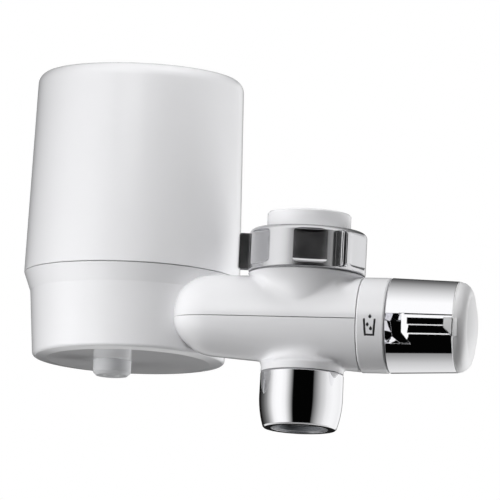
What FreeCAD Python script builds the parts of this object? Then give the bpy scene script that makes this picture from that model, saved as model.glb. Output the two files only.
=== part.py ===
"""A tap-mounted water filter, in millimetres.

The origin is the mouth of the tap adapter, on the tap's axis, with +Z up. +X points along the
valve barrel to the selector knob, and -Y is the front. The filter stands behind and beside the
valve, on an axis of its own.
"""
import FreeCAD, Part
import math
import os

V = FreeCAD.Vector
os.makedirs("parts", exist_ok=True)

# Clearances
running_gap = 0.06
seal_gap = 0.05
loose_gap = 0.3
seam_gap = 0.3

# Tap adapter and its washer
adapter_r = 16.75
adapter_length = 12.0
adapter_edge = 0.6
tap_thread_r = 10.46
tap_thread_length = 7.0
tap_washer_thickness = 2.2
tap_washer_r = 10.9
tap_washer_hole_r = 7.2
adapter_throat_r = 7.5

# Seal and strainer between the adapter and the valve
coupling_washer_thickness = 2.0
coupling_washer_r = 15.6
strainer_r = 9.0
strainer_thickness = 0.8
strainer_hole_r = 0.8
strainer_hole_rings = 3
strainer_ring_pitch = 2.5

# Coupling nut
nut_wall = 6.75
nut_top_z = -7.3
nut_height = 17.1
nut_top_round = 2.0
nut_bottom_round = 0.7
nut_lip_thickness = 3.0
nut_skirt_wall = 3.0
flute_count = 6
flute_cutter_r = 27.0
flute_depth = 1.9
flute_top_margin = 1.6
flute_bottom_margin = 1.7
flute_end_round = 1.5
first_flute_angle = 11.8
rib_pair_count = 3
first_rib_angle = 41.8
rib_width = 1.2
rib_pitch = 2.1
rib_reach = 4.5
rib_top_margin = 1.9
rib_bottom_margin = 0.7
rib_corner_round = 1.5

# Split ring that holds the nut on the neck
retainer_drop = 3.2
retainer_thickness = 2.0
retainer_groove_depth = 1.5
retainer_reach = 2.1
retainer_slit = 2.5

# Valve body
cover_top_drop = 25.6
neck_r = 14.2
neck_bore_r = 7.2
barrel_wall = 2.9
barrel_left_x = -16.0
barrel_right_x = 22.0
link_barrel_r = 8.2
flange_x = -30.0
flange_thickness = 3.0
flange_half_width = 13.5
flange_half_height = 7.5
flange_corner_r = 4.0
spout_r = 12.3
spout_bore_r = 6.5
spout_reach = 9.8

# Spindle that steers the water
spindle_r = 9.0
spindle_left_x = -13.0
spindle_shoulder_x = 16.5
spindle_stem_r = 6.0
spindle_drive_r = 5.0
spindle_drive_flat = 4.0
spindle_drive_x = 38.0
spindle_end_x = 50.0
filter_bore_r = 4.5
filter_port_r = 2.6
filter_port_x = -4.8
spout_port_r = 3.3
spout_port_x = 3.3
spindle_seal_wire_r = 1.0
spindle_end_room = 1.5
spindle_seal_places = (-10.5, 9.6, 13.2)

# Gland that keeps the spindle in
gland_grip = 1.6
gland_length = 9.0
gland_flange_thickness = 2.0
gland_nose_wall = 2.0

# Covers of the valve
cover_room = 4.7
cover_wall = 2.2
cover_left_x = -51.5
cover_right_x = 23.4
cover_end_r = 8.8
cover_end_length = 15.0
lower_end_depth = 3.4
lower_left_rise = 4.9
cover_flare_inset = 0.1
cover_flare_drop = 0.7
cover_flare_slant = 5.8
cover_flare_height = 12.5
cover_flare_bend = 1.35
collar_wall = 4.3
collar_slant = 3.8
collar_straight = 3.4
collar_blend = 5.2
collar_bend = 1.15
collar_reach = 1.3
cover_lip_height = 1.8
cover_lip_foot = 5.0
cover_lip_wall = 1.1
cover_end_steps = 7
cover_arc_steps = 12

# Indicator ring
indicator_overhang = 0.3
indicator_left_x = 23.7
indicator_length = 11.3
indicator_wall = 2.4
indicator_web = 2.4
indicator_spigot = 3.0
indicator_edge = 0.5

# Selector knob
knob_left_x = 35.3
knob_taper = 0.8
knob_end_x = 62.8
knob_edge = 0.4
recess_angle = -11.6
recess_depth = 7.5
recess_overrun = 0.9
recess_floor_outline = ((1.35, 2.7), (6.6, 2.7), (6.6, -1.5), (10.8, -6.1), (5.3, -6.1), (2.1, -3.6))
recess_rim_outline = ((-0.15, 7.1), (6.6, 7.1), (6.6, -1.5), (10.8, -6.1), (5.3, -6.1), (-0.4, -6.8))
nose_top = 6.2
nose_run = 5.1
nose_drop = 2.45
steps_overlap = 0.9
step_outline = ((1.1, 7.6), (1.0, 7.6), (0.98, 6.44), (0.999, 2.3), (0.974, -5.66), (0.992, -6.85),
                (0.976, -16.7), (1.0, -18.0), (1.1, -18.3))
screw_well_r = 7.6
screw_well_depth = 9.0

# Knob cap
cap_corner_r = 5.4
cap_crown = 2.0
cap_end_x = 69.8
cap_wall = 2.4
cap_plug_length = 5.0
cap_plug_wall = 1.4
tongue_length = 3.6
tongue_top = 4.6
tongue_low_left = 1.0
tongue_low_right = -2.6
tongue_depth = 2.7
tongue_wall = 2.0
tongue_root = 1.8
tongue_sink = 0.05
tongue_gap = 0.12

# Knob screw
knob_screw_head_r = 3.8
knob_screw_head_height = 2.4
knob_screw_r = 1.95
knob_screw_length = 14.0
knob_screw_socket_r = 1.6
knob_screw_socket_depth = 1.4
knob_screw_end_room = 1.0

# Link tube between valve and filter base
link_left_x = -42.0
link_right_x = -18.5
link_r = 5.9
link_bore_r = 3.4
link_seal_wire_r = 0.75
link_seal_places = (-23.5, -37.5)

# Screws that join the valve flange to the base arm
body_screw_y = 10.9
body_screw_r = 1.5
body_screw_head_r = 2.4
body_screw_head_height = 2.0
body_screw_length = 6.5

# Filter axis and base
filter_y = 22.0
base_top_drop = 23.95
base_rim_r = 43.25
base_neck_step = 2.7
base_cone_height = 7.2
base_draft = 1.85
base_height = 33.4
base_foot_round = 1.5
base_underside_rise = 0.5
base_underside_flat = 6.0
base_wall = 2.7
base_floor = 2.8
base_spigot_step = 3.65
base_spigot_height = 12.0
base_spigot_wall = 3.4
base_arm_end_x = -33.2
base_arm_reach = 2.8
base_arm_flange = 4.5
socket_r = 10.0
socket_wall = 2.6
socket_height = 9.5

# Cup
cup_rim_overhang = 0.1
cup_draft = 2.05
cup_side_height = 76.55
cup_corner_r = 5.0
cup_crown = 2.6
cup_wall = 2.6
cup_rim_edge = 0.2
cup_step_margin = 1.0
cup_seal_wire_r = 1.5
cup_seal_depth = 6.0

# Outlet nozzle
nozzle_offset = -6.4
nozzle_r = 7.6
nozzle_length = 6.0
nozzle_bore_r = 2.25
nozzle_edge = 1.3
nozzle_spigot_r = 4.6
nozzle_mouth_r = 3.4
nozzle_mouth_depth = 1.2

# Cartridge
cartridge_room = 2.6
cartridge_cap_floor = 2.6
cartridge_cap_rim = 6.0
cartridge_cap_wall = 1.8
cartridge_bore_r = 6.0
cartridge_stand = 1.65
block_room = 2.1
block_bore_r = 8.0
block_top_room = 14.0
sleeve_thickness = 1.6
cartridge_spigot_length = 8.6
cartridge_seal_wire_r = 1.2
cartridge_seal_drop = 4.2
cartridge_handle_height = 7.0
cartridge_handle_length = 26.0
cartridge_handle_width = 3.0
cartridge_handle_round = 4.0

# Aerator
aerator_overhang = 0.05
aerator_swell = 0.1
aerator_waist_drop = 9.3
aerator_taper = 1.8
aerator_bow = 1.4
aerator_length = 22.2
aerator_bore_gap = 0.1
aerator_lip_thickness = 2.6
aerator_lip_r = 11.5
aerator_edge = 0.5
aerator_washer_thickness = 2.0
aerator_washer_hole_r = 8.6
insert_r = 12.2
insert_exit_r = 8.8
insert_plate = 2.2
insert_hole_r = 0.9
insert_hole_rings = 2
insert_ring_pitch = 3.2
insert_nose_margin = 0.5
screen_r = 9.8
screen_thickness = 0.6
screen_margin = 2.3
screen_hole_r = 0.7
screen_hole_rings = 3
screen_ring_pitch = 2.2

# Places that follow from the sizes above
nut_r = adapter_r + nut_wall
barrel_r = spindle_r + barrel_wall
gland_r = spindle_r + gland_grip
gland_flange_r = barrel_r
cover_r = barrel_r + cover_room + cover_wall
cover_flare_r = nut_r - cover_flare_inset
cover_flare_foot_r = cover_flare_r - cover_flare_slant
lower_left_depth = cover_r - lower_left_rise
indicator_r = cover_r + indicator_overhang
knob_r = indicator_r
knob_end_r = knob_r - knob_taper
valve_z = -cover_top_drop - cover_r
neck_top_z = -adapter_length - coupling_washer_thickness
nut_bottom_z = nut_top_z - nut_height
retainer_top_z = neck_top_z - retainer_drop
retainer_r = neck_r + retainer_reach
nut_lip_top_z = retainer_top_z - retainer_thickness - seal_gap * 2
spout_end_z = valve_z - cover_r - spout_reach
collar_end_z = valve_z - cover_r - collar_reach
collar_r = spout_r + collar_wall
collar_foot_r = collar_r - collar_slant
aerator_top_r = collar_r + aerator_overhang
aerator_waist_r = aerator_top_r + aerator_swell
aerator_foot_r = aerator_top_r - aerator_taper
aerator_bore_r = spout_r + aerator_bore_gap
base_top_z = -base_top_drop
base_foot_z = base_top_z - base_height
base_neck_r = base_rim_r - base_neck_step
base_foot_r = base_neck_r - base_draft
base_spigot_r = base_rim_r - base_spigot_step
filter_x = base_arm_end_x - base_arm_reach - base_foot_r
cup_rim_r = base_rim_r + cup_rim_overhang
cup_rim_z = base_top_z + seam_gap
cup_shoulder_r = cup_rim_r - cup_draft
cup_shoulder_z = base_top_z + cup_side_height
cartridge_cap_r = base_spigot_r - base_spigot_wall - cartridge_room
cartridge_bottom_z = base_foot_z + base_floor + socket_height + cartridge_stand
block_r = cartridge_cap_r - block_room
block_height = cup_shoulder_z - cartridge_bottom_z - block_top_room
aerator_top_z = collar_end_z - loose_gap / 2
aerator_foot_z = aerator_top_z - aerator_length
axis_z = V(0, 0, 1)
axis_x = V(1, 0, 0)


def arc(cx, cy, r, start, end):
    """The start point of a round stretch, and the step that runs along it, angles in degrees."""
    angles = [math.radians(a) for a in (start, (start + end) / 2, end)]
    points = [(cx + r * math.cos(a), cy + r * math.sin(a)) for a in angles]
    return [points[0], points[1] + points[2]]


def crown(r, z, rise):
    """The step from a rim to the top of a low dome, along a circle centred on the axis."""
    ball_r = (r * r + rise * rise) / (2 * rise)
    half = math.asin(r / ball_r) / 2
    centre_z = z + rise - ball_r
    return (ball_r * math.sin(half), centre_z + ball_r * math.cos(half), 0, z + rise)


def face_of(outline, place):
    """A face from an outline: two numbers are a corner, four numbers are an arc's middle and end."""
    edges = []
    here = outline[0]
    for step in outline[1:]:
        end = step[-2:]
        if math.dist(here, end) < 1e-6:
            continue
        if len(step) == 2:
            edges.append(Part.makeLine(place(*here), place(*end)))
        else:
            edges.append(Part.Arc(place(*here), place(*step[:2]), place(*end)).toShape())
        here = end
    if math.dist(here, outline[0]) > 1e-6:
        edges.append(Part.makeLine(place(*here), place(*outline[0])))
    return Part.Face(Part.Wire(edges))


def turned_z(outline, x=0.0, y=0.0):
    """A turned solid about an upright axis, from an outline of radius and height."""
    face = face_of(outline, lambda r, z: V(x + r, y, z))
    return face.revolve(V(x, y, 0), axis_z, 360)


def turned_x(outline):
    """A turned solid about the valve's axis, from an outline of place along X and radius."""
    face = face_of(outline, lambda px, r: V(px, 0, valve_z + r))
    return face.revolve(V(0, 0, valve_z), axis_x, 360)


def upright(r, low, high, x=0.0, y=0.0):
    """An upright round bar."""
    return Part.makeCylinder(r, high - low, V(x, y, low), axis_z)


def lying(r, left, right, y=0.0, z=None):
    """A round bar along X, on the valve's axis unless it is placed elsewhere."""
    return Part.makeCylinder(r, right - left, V(left, y, valve_z if z is None else z), axis_x)


def tube(outer, inner, low, high, x=0.0, y=0.0):
    """An upright sleeve or flat ring."""
    return upright(outer, low, high, x, y).cut(upright(inner, low, high, x, y))


def seal(wire_r, bore_r, centre, direction):
    """An O-ring that just clears the bore that it seals."""
    return Part.makeTorus(bore_r - seal_gap - wire_r, wire_r, centre, direction)


def turn_about_tap(shape, angle):
    """A copy turned about the tap's axis; 0 faces the front, and the angle grows towards +X."""
    copy = shape.copy()
    copy.rotate(V(0, 0, 0), axis_z, angle - 90)
    return copy


def hole_grid(hole_r, rings, pitch, low, high):
    """Upright holes on rings about the tap's axis, six more on each ring, with one in the middle."""
    holes = [upright(hole_r, low, high)]
    for ring in range(1, rings + 1):
        for index in range(6 * ring):
            angle = math.radians(60 * index / ring)
            px = ring * pitch * math.cos(angle)
            py = ring * pitch * math.sin(angle)
            holes.append(upright(hole_r, low, high, px, py))
    return Part.makeCompound(holes)


def tap_adapter():
    """White bush that screws on the tap, with a groove that keeps its washer."""
    washer_low = -tap_thread_length - tap_washer_thickness
    groove_r = tap_washer_r + seal_gap
    edge = adapter_edge
    return turned_z([
        (tap_thread_r, 0), (adapter_r - edge, 0), (adapter_r, -edge),
        (adapter_r, -adapter_length + edge), (adapter_r - edge, -adapter_length),
        (adapter_throat_r, -adapter_length), (adapter_throat_r, washer_low),
        (groove_r, washer_low), (groove_r, -tap_thread_length), (tap_thread_r, -tap_thread_length)])


def tap_washer():
    """Flat rubber washer that the tap's end presses on."""
    high = -tap_thread_length
    return tube(tap_washer_r, tap_washer_hole_r, high - tap_washer_thickness, high)


def coupling_washer():
    """Flat rubber seal between the adapter and the neck, round the strainer's rim."""
    top = neck_top_z + coupling_washer_thickness
    return tube(coupling_washer_r, adapter_throat_r, neck_top_z, top)


def inlet_strainer():
    """Steel strainer disc in its seat at the top of the neck."""
    low = neck_top_z - strainer_thickness
    disc = upright(strainer_r, low, neck_top_z)
    holes = hole_grid(strainer_hole_r, strainer_hole_rings, strainer_ring_pitch, low, neck_top_z)
    return disc.cut(holes)


def nut_flute():
    """The space of one flute: an upright barrel that bites into the nut's side, with round ends."""
    low = nut_bottom_z + flute_bottom_margin
    high = nut_top_z - flute_top_margin
    r = flute_cutter_r
    bend = flute_end_round
    barrel = turned_z([
        (0, low), *arc(r - bend, low + bend, bend, -90, 0), *arc(r - bend, high - bend, bend, 0, 90),
        (0, high)])
    barrel.translate(V(nut_r - flute_depth + r, 0, 0))
    return barrel


def nut_rib_pair():
    """Two thin grip ribs side by side, with round corners at their outer ends."""
    low = nut_bottom_z + rib_bottom_margin
    high = nut_top_z - rib_top_margin
    foot = nut_r - nut_skirt_wall / 2
    tip = nut_r + rib_reach
    bend = rib_corner_round
    side = face_of(
        [(foot, low), *arc(tip - bend, low + bend, bend, -90, 0),
         *arc(tip - bend, high - bend, bend, 0, 90), (foot, high)],
        lambda r, z: V(r, -rib_width / 2, z))
    rib = side.extrude(V(0, rib_width, 0))
    crest = face_of(
        [(foot, -rib_width / 2), *arc(tip - rib_width / 2, 0, rib_width / 2, -90, 90),
         (foot, rib_width / 2)],
        lambda r, y: V(r, y, low))
    rib = rib.common(crest.extrude(V(0, 0, high - low)))
    pair = []
    for side_sign in (-1, 1):
        copy = rib.copy()
        copy.translate(V(0, side_sign * rib_pitch / 2, 0))
        pair.append(copy)
    return pair


def coupling_nut():
    """Chrome nut with six flutes and three pairs of grip ribs; its lip hooks under the split ring."""
    bore_r = adapter_r + running_gap
    lip_r = neck_r + loose_gap
    lip_low = nut_lip_top_z - nut_lip_thickness
    skirt_r = nut_r - nut_skirt_wall
    top = nut_top_round
    foot = nut_bottom_round
    nut = turned_z([
        (bore_r, nut_top_z), *arc(nut_r - top, nut_top_z - top, top, 90, 0),
        *arc(nut_r - foot, nut_bottom_z + foot, foot, 0, -90), (skirt_r, nut_bottom_z),
        (skirt_r, lip_low), (lip_r, lip_low), (lip_r, nut_lip_top_z), (bore_r, nut_lip_top_z)])
    flute = nut_flute()
    for index in range(flute_count):
        nut = nut.cut(turn_about_tap(flute, first_flute_angle + 360 * index / flute_count))
    ribs = []
    for index in range(rib_pair_count):
        angle = first_rib_angle + 360 * index / rib_pair_count
        ribs += [turn_about_tap(rib, angle) for rib in nut_rib_pair()]
    return nut.fuse(ribs)


def nut_retainer():
    """Split plastic ring in the neck's groove; the nut's lip pulls up against it."""
    low = retainer_top_z - retainer_thickness
    groove_r = neck_r - retainer_groove_depth + seal_gap
    ring = tube(retainer_r, groove_r, low, retainer_top_z)
    corner = V(-retainer_slit / 2, 0, low)
    slit = Part.makeBox(retainer_slit, 2 * retainer_r, retainer_thickness, corner)
    return ring.cut(slit)


def valve_body():
    """Moulded valve body: upright neck, barrel along X, spout below and a flange for the base."""
    right = barrel_right_x
    body = upright(neck_r, valve_z, neck_top_z)
    body = body.fuse([
        lying(barrel_r, barrel_left_x, right),
        lying(link_barrel_r, flange_x, barrel_left_x),
        upright(spout_r, spout_end_z, valve_z),
        valve_flange()])
    groove_r = neck_r - retainer_groove_depth
    groove = tube(neck_r + 1, groove_r, retainer_top_z - retainer_thickness, retainer_top_z)
    strainer_seat = upright(strainer_r + seal_gap, neck_top_z - strainer_thickness, neck_top_z)
    link_bore_end = link_right_x + loose_gap
    spindle_bore = lying(spindle_r + running_gap, spindle_left_x - spindle_end_room, right)
    gland_seat = lying(gland_r + seal_gap, spindle_shoulder_x, right)
    link_socket = lying(link_r + running_gap, flange_x - flange_thickness, link_bore_end)
    passage = lying(filter_bore_r, link_bore_end, spindle_left_x)
    inlet = upright(neck_bore_r, valve_z, neck_top_z)
    outlet = upright(spout_bore_r, spout_end_z, valve_z)
    hole_left = flange_x - flange_thickness
    hole_r = body_screw_r + seal_gap
    screw_holes = [lying(hole_r, hole_left, flange_x, sign * body_screw_y) for sign in (-1, 1)]
    return body.cut([
        groove, strainer_seat, spindle_bore, gland_seat, link_socket, passage, inlet, outlet,
        *screw_holes])


def rounded_plate(left, thickness):
    """A plate across the valve's axis, as large as the flange, with round corners."""
    r = flange_corner_r
    y = flange_half_width - r
    z = flange_half_height - r
    corners = [*arc(y, -z, r, -90, 0), *arc(y, z, r, 0, 90),
               *arc(-y, z, r, 90, 180), *arc(-y, -z, r, 180, 270)]
    face = face_of(corners, lambda py, pz: V(left, py, valve_z + pz))
    return face.extrude(V(thickness, 0, 0))


def valve_flange():
    """The plate at the barrel's left end that the base's arm is screwed to."""
    left = flange_x - flange_thickness
    return rounded_plate(left, flange_thickness)


def selector_spindle():
    """Hollow spindle with two ports a quarter turn apart, and a stem for the knob."""
    spindle = turned_x([
        (spindle_left_x, 0), (spindle_left_x, spindle_r), (spindle_shoulder_x - seal_gap, spindle_r),
        (spindle_shoulder_x - seal_gap, spindle_stem_r), (spindle_drive_x, spindle_stem_r),
        (spindle_drive_x, spindle_drive_r), (spindle_end_x, spindle_drive_r), (spindle_end_x, 0)])
    filter_bore = lying(filter_bore_r, spindle_left_x, filter_port_x + filter_port_r)
    filter_port = upright(filter_port_r, valve_z, valve_z + spindle_r, filter_port_x)
    spout_port = Part.makeCylinder(
        spout_port_r, 2 * spindle_r, V(spout_port_x, -spindle_r, valve_z), V(0, 1, 0))
    screw_hole = lying(knob_screw_r + seal_gap, spindle_end_x - knob_screw_length, spindle_end_x)
    drive_length = spindle_end_x - spindle_drive_x
    flat = Part.makeBox(
        drive_length, 2 * spindle_drive_r, spindle_drive_r,
        V(spindle_drive_x, -spindle_drive_r, valve_z + spindle_drive_flat))
    grooves = []
    for place in spindle_seal_places:
        half = spindle_seal_wire_r + seal_gap
        floor_r = spindle_r - 2 * spindle_seal_wire_r
        groove = lying(spindle_r + 1, place - half, place + half)
        grooves.append(groove.cut(lying(floor_r, place - half, place + half)))
    return spindle.cut([filter_bore, filter_port, spout_port, screw_hole, flat] + grooves)


def spindle_seals():
    """The three O-rings of the spindle, as one group."""
    bore = spindle_r + running_gap
    rings = [seal(spindle_seal_wire_r, bore, V(place, 0, valve_z), axis_x) for place in spindle_seal_places]
    return Part.makeCompound(rings)


def spindle_gland():
    """Bush in the barrel's end that keeps the spindle in."""
    left = spindle_shoulder_x
    hole_r = spindle_stem_r + running_gap
    flange_left = barrel_right_x
    flange_right = flange_left + gland_flange_thickness
    right = left + gland_length
    nose_r = spindle_stem_r + gland_nose_wall
    return turned_x([
        (left, hole_r), (left, gland_r), (flange_left, gland_r), (flange_left, gland_flange_r),
        (flange_right, gland_flange_r), (flange_right, nose_r), (right, nose_r), (right, hole_r)])


def cover_width(x, inset):
    """Half the covers' width at x: full along the barrel, drawn in by a quarter ellipse at the left."""
    left = cover_left_x + inset
    reach = max(0.0, (left + cover_end_length - x) / cover_end_length)
    rise = math.sqrt(max(0.0, 1 - reach * reach))
    return cover_end_r - inset + (cover_r - cover_end_r) * rise


def cover_depth(x, inset):
    """The lower cover's depth at x: it grows evenly to the right, and is drawn in at the left."""
    left = cover_left_x + inset
    straight = left + cover_end_length
    reach = max(0.0, (straight - x) / cover_end_length)
    rise = math.sqrt(max(0.0, 1 - reach * reach))
    slope = (cover_r - lower_left_depth) / (cover_right_x - straight)
    full = lower_left_depth + slope * (x - straight)
    return lower_end_depth - inset + (full - lower_end_depth) * rise


def cover_hull(depth_of, inset, right, side):
    """Half a rounded hull: elliptic sections along X, above (+1) or below (-1) the valve's axis."""
    left = cover_left_x + inset
    straight = left + cover_end_length
    angles = [math.pi * step / cover_arc_steps for step in range(cover_arc_steps + 1)]

    def section(x):
        wide = cover_width(x, inset)
        deep = depth_of(x, inset)
        return [V(x, wide * math.cos(a), valve_z + side * deep * math.sin(a)) for a in angles]

    turns = [math.radians(90 * step / cover_end_steps) for step in range(cover_end_steps + 1)]
    grid = [section(straight - cover_end_length * math.cos(turn)) for turn in turns]
    rounded = Part.BSplineSurface()
    rounded.interpolate(grid)
    rounded = rounded.toShape()

    def edge_at(x):
        return min(rounded.Edges, key=lambda edge: abs(edge.CenterOfMass.x - x))

    def chord(x):
        points = section(x)
        return Part.makeLine(points[0], points[-1])

    last_arc = Part.BSplineCurve()
    last_arc.interpolate(section(right))
    last_arc = last_arc.toShape()
    barrel = Part.makeRuledSurface(edge_at(straight), last_arc)
    rims = [edge for edge in rounded.Edges if edge.BoundBox.XLength > cover_end_length / 2]
    rims += [edge for edge in barrel.Edges if edge.BoundBox.XLength > cover_end_length / 2]
    faces = [
        rounded, barrel, Part.Face(Part.Wire([edge_at(left), chord(left)])),
        Part.Face(Part.Wire([last_arc, chord(right)])),
        Part.Face(Part.Wire(Part.__sortEdges__(rims + [chord(left), chord(right)])))]
    shell = Part.makeShell(faces)
    shell.sewShape()
    hull = Part.makeSolid(shell)
    if hull.Volume < 0:
        hull.reverse()
    return hull


def base_space(gap):
    """The room that the filter base takes, grown by a gap."""
    cone_low = base_top_z - base_cone_height
    low = base_foot_z - cover_r
    return turned_z([
        (0, low), (base_foot_r + gap, low), (base_foot_r + gap, base_foot_z), (base_neck_r + gap, cone_low),
        (base_rim_r + gap, base_top_z), (base_rim_r + gap, 0), (0, 0)], filter_x, filter_y)


def half_space(low, high):
    """A block as long and wide as the covers, between two heights."""
    length = cover_right_x - cover_left_x + 2 * cover_r
    return Part.makeBox(length, 4 * cover_r, high - low, V(cover_left_x - cover_r, -2 * cover_r, low))


def flare_outline(inset):
    """The hollow curve under the nut: from a wide rim at the top to a narrow foot."""
    top = nut_bottom_z - cover_flare_drop
    low = top - cover_flare_height
    rim = cover_flare_r - inset
    foot = cover_flare_foot_r - inset
    bend = (foot + cover_flare_bend, (top + low) / 2)
    return top, low, rim, foot, bend


def flare_solid(inset):
    """The flare under the nut as a turned solid."""
    top, low, rim, foot, bend = flare_outline(inset)
    return turned_z([(0, low), (foot, low), (*bend, rim, top - inset), (0, top - inset)])


def body_cover_top():
    """Upper cover: a half barrel with a flare that fills the space under the nut."""
    parting = valve_z + seam_gap / 2
    shell = cover_hull(cover_width, 0, cover_right_x, 1)
    shell = shell.common(half_space(parting, 0))
    shell = shell.fuse(flare_solid(0))
    hollow = cover_hull(cover_width, cover_wall, cover_right_x + 1, 1)
    shell = shell.cut([hollow, flare_solid(cover_wall), base_space(loose_gap)])
    return shell.cut(upright(neck_r + loose_gap, valve_z, 0))


def collar_solid():
    """The collar round the spout: a straight rim that draws in, in a hollow curve, to the cover."""
    low = collar_end_z
    straight = low + collar_straight
    top = straight + collar_blend
    bend = (collar_foot_r + collar_bend, straight + collar_blend / 3)
    return turned_z([
        (0, low), (collar_r, low), (collar_r, straight), (*bend, collar_foot_r, top), (0, top)])


def cover_lips():
    """The two strips inside the joint that line the upper cover up with the lower one."""
    parting = valve_z - seam_gap / 2
    left = cover_left_x + cover_end_length
    length = cover_right_x - indicator_spigot - loose_gap - left
    outer = cover_r - cover_wall - loose_gap
    height = cover_lip_foot + cover_lip_height
    strips = []
    for y in (-outer, outer - cover_lip_wall):
        strips.append(Part.makeBox(length, cover_lip_wall, height, V(left, y, parting - cover_lip_foot)))
    return strips


def body_cover_bottom():
    """Lower cover: a tapering half shell with a collar round the spout and a lip inside the joint."""
    parting = valve_z - seam_gap / 2
    shell = cover_hull(cover_depth, 0, cover_right_x, -1)
    shell = shell.common(half_space(3 * valve_z, parting))
    hollow = cover_hull(cover_depth, cover_wall, cover_right_x + 1, -1)
    shell = shell.fuse(collar_solid()).cut(hollow).fuse(cover_lips())
    return shell.cut([base_space(loose_gap), upright(spout_r + loose_gap, collar_end_z, valve_z)])


def indicator_ring():
    """White ring between covers and knob; its spigot sits inside the covers."""
    left = indicator_left_x
    right = left + indicator_length
    inner = indicator_r - indicator_wall
    spigot_r = cover_r - cover_wall - loose_gap
    spigot_left = left - indicator_spigot
    web_left = left + gland_flange_thickness
    web_right = web_left + indicator_web
    web_hole_r = spindle_stem_r + gland_nose_wall + loose_gap
    edge = indicator_edge
    return turned_x([
        (spigot_left, spigot_r - indicator_wall), (spigot_left, spigot_r), (left, spigot_r),
        (left, indicator_r - edge), (left + edge, indicator_r), (right - edge, indicator_r),
        (right, indicator_r - edge), (right, inner), (web_right, inner),
        (web_right, web_hole_r), (web_left, web_hole_r),
        (web_left, spigot_r - indicator_wall)])


def on_knob(angle, out, across):
    """A place across the knob: out from its axis at an angle above the front, and square to that."""
    sine = math.sin(math.radians(angle))
    cosine = math.cos(math.radians(angle))
    return V(0, across * sine - out * cosine, valve_z + out * sine + across * cosine)


def knob_outline(points, out):
    """A closed wire in the plane at one distance out, from places along X and across the recess."""
    corners = [on_knob(recess_angle, out, across) + V(px, 0, 0) for px, across in points]
    return Part.makePolygon(corners + corners[:1])


def knob_prism(points, low, high):
    """A straight block between two distances out, from places along X and across the recess."""
    face = Part.Face(knob_outline(points, low))
    return face.extrude(on_knob(recess_angle, high, 0) - on_knob(recess_angle, low, 0))


def knob_recess():
    """The finger pocket beside the grip: a deep floor with sloping walls at its top, left and foot."""
    floor = [(knob_left_x + px, across) for px, across in recess_floor_outline]
    rim = [(knob_left_x + px, across) for px, across in recess_rim_outline]
    wires = [knob_outline(floor, knob_r - recess_depth), knob_outline(rim, knob_r + recess_overrun)]
    return Part.makeLoft(wires, True, True)


def knob_nose_bevel():
    """The gentle slope at the grip's nose, above the pocket's straight side."""
    left = knob_left_x + recess_floor_outline[1][0] - steps_overlap
    low = recess_floor_outline[4][1]
    outside = knob_r + recess_overrun
    side = [(left, knob_r - nose_drop), (left + nose_run, knob_r), (left + nose_run, outside), (left, outside)]
    face = face_of(side, lambda px, out: on_knob(recess_angle, out, low) + V(px, 0, 0))
    return face.extrude(on_knob(recess_angle, 0, nose_top) - on_knob(recess_angle, 0, low))


def knob_steps():
    """The space over the grip's three shallow steps, which narrow with the knob's taper."""
    wires = []
    for px in (knob_left_x + recess_floor_outline[1][0] - steps_overlap, knob_end_x + 1):
        local_r = knob_r + (knob_end_r - knob_r) * (px - knob_left_x) / (knob_end_x - knob_left_x)
        corners = [on_knob(angle, share * local_r, 0) + V(px, 0, 0) for share, angle in step_outline]
        wires.append(Part.makePolygon(corners + corners[:1]))
    return Part.makeLoft(wires, True, True)


def knob_form():
    """The knob's outer form before its pocket: a short taper with a broken edge at each end."""
    left = knob_left_x
    right = knob_end_x
    edge = knob_edge
    return turned_x([
        (left, 0), (right, 0), (right, knob_end_r - edge), (right - edge, knob_end_r),
        (left + edge, knob_r), (left, knob_r - edge)])


def tongue_space(gap):
    """The room that the cap's tongue takes in the knob, grown by a gap."""
    left = knob_end_x - tongue_length - gap
    right = knob_end_x + tongue_root
    points = [(left, tongue_top + gap), (right, tongue_top + gap), (right, tongue_low_right - 2 * gap),
              (knob_end_x, tongue_low_right - 2 * gap), (left, tongue_low_left - 2 * gap)]
    return knob_prism(points, knob_end_r - tongue_depth - gap, knob_r + recess_overrun)


def cap_tongue():
    """The tongue of the cap that lies flush in the knob, over the grip's right end."""
    left = knob_end_x - tongue_length
    inside = knob_end_r - tongue_depth - tongue_wall
    root = knob_end_x + tongue_root
    root_r = knob_end_r - seam_gap / 2 - tongue_sink
    flush_r = knob_end_r + knob_taper * tongue_length / (knob_end_x - knob_left_x) - tongue_sink
    sleeve = turned_x([
        (left, inside), (root, inside), (root, root_r), (knob_end_x, root_r), (left, flush_r)])
    return sleeve.common(tongue_space(0))


def selector_knob():
    """Chrome knob with a finger pocket, whose far side is the grip's nose."""
    left = knob_left_x
    right = knob_end_x
    body = knob_form().cut([knob_recess(), knob_steps(), knob_nose_bevel(), tongue_space(tongue_gap)])
    flat_z = valve_z + spindle_drive_flat + seal_gap
    flat = Part.makeBox(
        spindle_end_x - spindle_drive_x, 4 * spindle_drive_r, spindle_drive_r,
        V(spindle_drive_x, -2 * spindle_drive_r, flat_z))
    drive = lying(spindle_drive_r + seal_gap, left, spindle_end_x + seal_gap).cut(flat)
    stem = lying(spindle_stem_r + seal_gap, left, spindle_drive_x + seal_gap)
    well = lying(screw_well_r, right - screw_well_depth, right)
    screw_way = lying(knob_screw_r + seal_gap, spindle_end_x, right)
    return body.cut([drive, stem, well, screw_way])


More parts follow.
